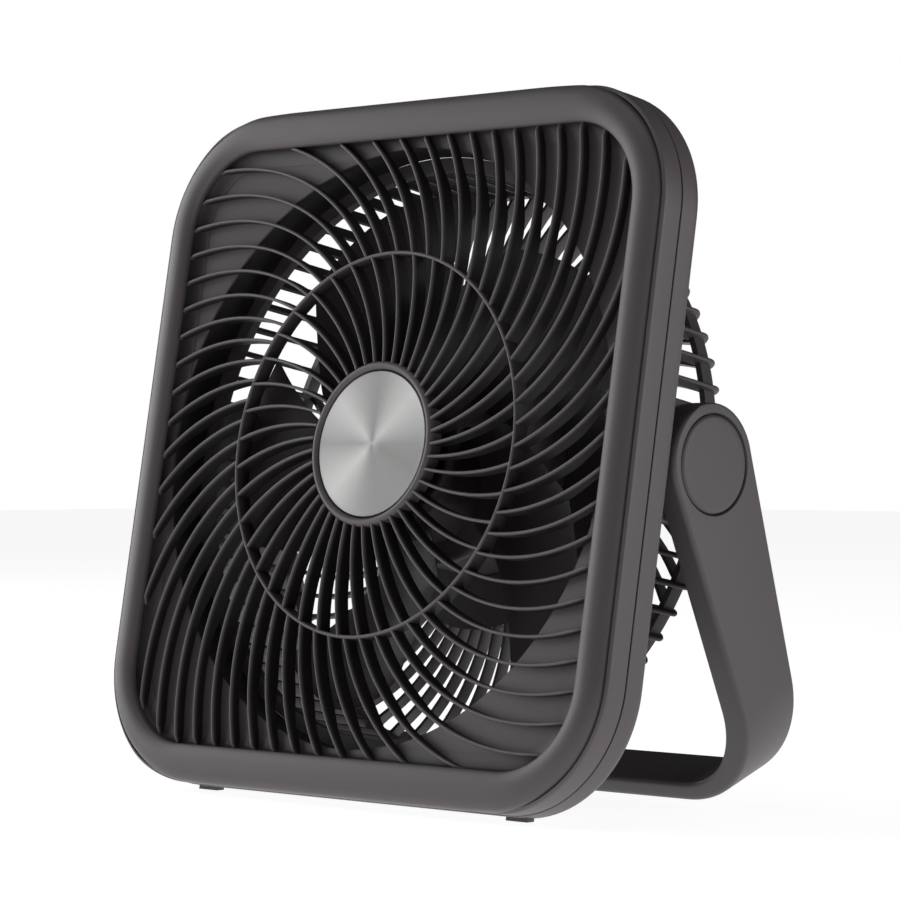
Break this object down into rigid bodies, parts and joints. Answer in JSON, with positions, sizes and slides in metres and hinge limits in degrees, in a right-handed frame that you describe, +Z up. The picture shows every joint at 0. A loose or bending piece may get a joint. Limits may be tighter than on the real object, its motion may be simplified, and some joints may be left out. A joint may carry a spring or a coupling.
{
  "type": "box fan",
  "caption": "Square box fan with a spiral front grille, ribbed rear cage, bladed rotor, rear motor pod and a U stand that swings on two side pivots and doubles as a handle.",
  "frame": {"origin": "middle of the box that the object fills, on the surface it stands on", "axes": "+Z up, front grille faces -Y and leans back 10.1 degrees, +X to the right as seen from the front"},
  "size_m": [0.2996, 0.1418, 0.3035],
  "materials": {
    "case_plastic": "dark warm grey moulded plastic, satin",
    "grille_plastic": "dark warm grey moulded ribs, satin",
    "duct_plastic": "dark warm grey moulded plastic, satin",
    "stand_plastic": "dark warm grey moulded plastic, fine texture",
    "badge_silver": "turned disc with fine concentric brushing",
    "rotor_plastic": "nearly black moulded plastic",
    "inner_plastic": "plain black",
    "rubber": "matt black rubber",
    "lead_sleeve": "black sleeve",
    "steel": "plain ground steel",
    "screw_steel": "blackened steel",
    "rotor_steel": "zinc plated",
    "core_steel": "stacked sheet steel",
    "copper_wire": "enamelled copper wire",
    "magnet": "bonded magnet, matt dark grey",
    "board_green": "green circuit board",
    "cell_sleeve": "blue shrink sleeve",
    "socket_steel": "plated steel shell",
    "light_lens": "milky light window"
  },
  "bodies": {
    "casing": {"front_bezel": "case_plastic", "front_shell": "case_plastic", "rear_shell": "case_plastic", "pod_body": "case_plastic", "pod_cover": "case_plastic", "front_grille": "grille_plastic", "rear_cage": "grille_plastic", "air_duct": "duct_plastic", "hub_badge": "badge_silver", "battery_tray": "inner_plastic", "speed_control": "inner_plastic", "case_foot_left": "rubber", "case_foot_right": "rubber", "friction_washer_left": "rubber", "friction_washer_right": "rubber", "motor_lead": "lead_sleeve", "bearing_front": "steel", "bearing_rear": "steel", "motor_base": "steel", "motor_screw_1": "steel", "motor_screw_2": "steel", "motor_screw_3": "steel", "pivot_bolt_left": "steel", "pivot_bolt_right": "steel", "case_screw_1": "screw_steel", "case_screw_2": "screw_steel", "case_screw_3": "screw_steel", "case_screw_4": "screw_steel", "pod_screw_1": "screw_steel", "pod_screw_2": "screw_steel", "pod_screw_3": "screw_steel", "pod_screw_4": "screw_steel", "stator_core": "core_steel", "stator_winding_front": "copper_wire", "stator_winding_rear": "copper_wire", "control_board": "board_green", "battery_cell_1": "cell_sleeve", "battery_cell_2": "cell_sleeve", "battery_cell_3": "cell_sleeve", "charge_socket": "socket_steel", "charge_light": "light_lens"},
    "rotor": {"fan_rotor": "rotor_plastic", "blade_nut": "steel", "motor_shaft": "steel", "rotor_bell": "rotor_steel", "magnet_ring": "magnet"},
    "stand": {"stand_frame": "stand_plastic", "pivot_cap_left": "stand_plastic", "pivot_cap_right": "stand_plastic", "stand_foot_left": "rubber", "stand_foot_right": "rubber"},
    "knob": {"speed_knob": "case_plastic"}
  },
  "joints": [
    {"name": "rotor_spin", "type": "hinge", "parent": "casing", "child": "rotor", "pos_m": [0, -0.0441, 0.1546], "axis": [0, 0.9845, -0.1754], "continuous": true},
    {"name": "stand_swing", "type": "hinge", "parent": "casing", "child": "stand", "pos_m": [0, 0.00709, 0.14548], "axis": [1, 0, 0], "range_deg": [-30, 150]},
    {"name": "knob_turn", "type": "hinge", "parent": "casing", "child": "knob", "pos_m": [0, 0.03939, 0.13973], "axis": [0, -0.9845, 0.1754], "range_deg": [0, 270]}
  ]
}
